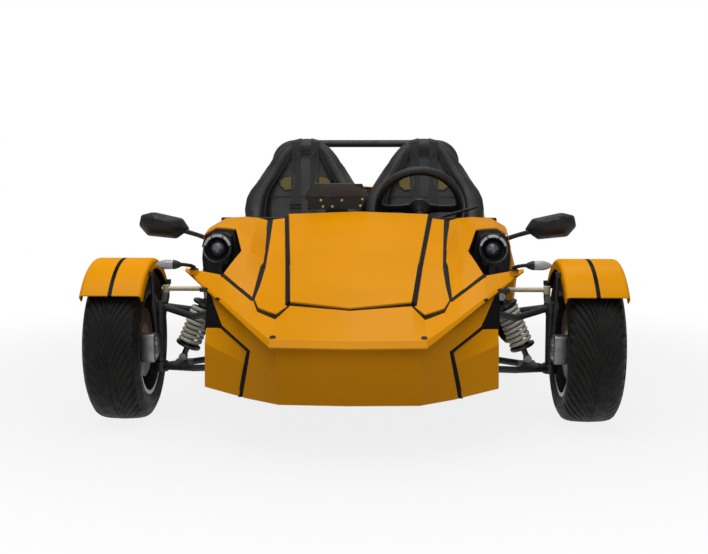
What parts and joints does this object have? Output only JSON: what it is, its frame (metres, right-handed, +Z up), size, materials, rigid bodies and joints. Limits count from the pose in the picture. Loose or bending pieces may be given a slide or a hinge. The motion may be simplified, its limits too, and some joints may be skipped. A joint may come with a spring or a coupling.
{
  "type": "electric trike",
  "caption": "Open electric trike with side by side bucket seats, a pair of steered front wheels, wishbone suspension, a wedge nose and one driven rear wheel.",
  "frame": {"origin": "on the floor under the middle of the overall box", "axes": "-Y points to the nose, +X to the vehicle's left side, where the driver sits, and +Z is up"},
  "size_m": [1.7, 2.9, 0.9619],
  "materials": {
    "body_paint": "gloss",
    "black_plastic": "satin",
    "frame_paint": "satin",
    "spring_paint": "satin",
    "tie_rod_metal": "satin",
    "tyre_rubber": "matte",
    "rim_alloy": "satin",
    "motor_alloy": "satin",
    "seat_leather": "satin",
    "belt_webbing": "matte",
    "grip_leather": "satin",
    "signal_lens": "clear",
    "tail_lens": "gloss"
  },
  "bodies": {
    "chassis": {"hood": "body_paint", "nose_panel": "body_paint", "nose_apron": "body_paint", "rear_deck": "body_paint", "hood_strip_left": "body_paint", "hood_strip_right": "body_paint", "front_cowl_left": "body_paint", "front_cowl_right": "body_paint", "apron_corner_left": "body_paint", "apron_corner_right": "body_paint", "side_pod_left": "body_paint", "side_pod_right": "body_paint", "rear_fairing_left": "body_paint", "rear_fairing_right": "body_paint", "mirror_left": "black_plastic", "mirror_right": "black_plastic", "headlamp_left": "black_plastic", "headlamp_right": "black_plastic", "dashboard": "black_plastic", "floor_tub": "black_plastic", "tail_panel": "black_plastic", "rear_fender": "black_plastic", "battery_pack": "black_plastic", "frame_rail_left": "frame_paint", "frame_rail_right": "frame_paint", "front_subframe": "frame_paint", "rear_frame": "frame_paint", "roll_hoop": "frame_paint", "swing_arm": "frame_paint", "lower_arm_left": "frame_paint", "lower_arm_right": "frame_paint", "upper_arm_left": "frame_paint", "upper_arm_right": "frame_paint", "front_damper_left": "spring_paint", "front_damper_right": "spring_paint", "rear_damper": "spring_paint", "seat_left": "seat_leather", "seat_right": "seat_leather", "harness_left": "belt_webbing", "harness_right": "belt_webbing", "turn_signal_left": "signal_lens", "turn_signal_right": "signal_lens", "tail_lamp_left": "tail_lens", "tail_lamp_right": "tail_lens"},
    "knuckle_left": {"knuckle_left": "frame_paint", "front_fender_left": "body_paint"},
    "knuckle_right": {"knuckle_right": "frame_paint", "front_fender_right": "body_paint"},
    "wheel_front_left": {"front_tyre_left": "tyre_rubber", "front_rim_left": "rim_alloy"},
    "wheel_front_right": {"front_tyre_right": "tyre_rubber", "front_rim_right": "rim_alloy"},
    "wheel_rear": {"rear_tyre": "tyre_rubber", "rear_rim": "rim_alloy", "hub_motor": "motor_alloy"},
    "steering_wheel": {"steering_wheel": "grip_leather"},
    "steering_rack": {"steering_rack": "tie_rod_metal"}
  },
  "joints": [
    {"name": "steer_left", "type": "hinge", "parent": "chassis", "child": "knuckle_left", "pos_m": [0.64, -0.85, 0.2525], "axis": [0, 0, 1], "range_deg": [-27, 27]},
    {"name": "steer_right", "type": "hinge", "parent": "chassis", "child": "knuckle_right", "pos_m": [-0.64, -0.85, 0.2525], "axis": [0, 0, 1], "range_deg": [-27, 27]},
    {"name": "steering_turn", "type": "hinge", "parent": "chassis", "child": "steering_wheel", "pos_m": [0.228, -0.2, 0.668], "axis": [0, 0.9063, 0.4226], "range_deg": [-162, 162]},
    {"name": "rack_slide", "type": "slide", "parent": "chassis", "child": "steering_rack", "axis": [1, 0, 0], "range_m": [-0.0455, 0.0455]},
    {"name": "roll_front_left", "type": "hinge", "parent": "knuckle_left", "child": "wheel_front_left", "pos_m": [0.752, -0.85, 0.2525], "axis": [1, 0, 0], "continuous": true},
    {"name": "roll_front_right", "type": "hinge", "parent": "knuckle_right", "child": "wheel_front_right", "pos_m": [-0.752, -0.85, 0.2525], "axis": [1, 0, 0], "continuous": true},
    {"name": "roll_rear", "type": "hinge", "parent": "chassis", "child": "wheel_rear", "pos_m": [0, 1.13, 0.293], "axis": [1, 0, 0], "continuous": true}
  ],
  "couplings": [
    {"joint": "steer_right", "follows": "steer_left", "ratio": 1},
    {"joint": "steering_turn", "follows": "steer_left", "ratio": 6},
    {"joint": "rack_slide", "follows": "steer_left", "m_per_rad": -0.0963}
  ]
}
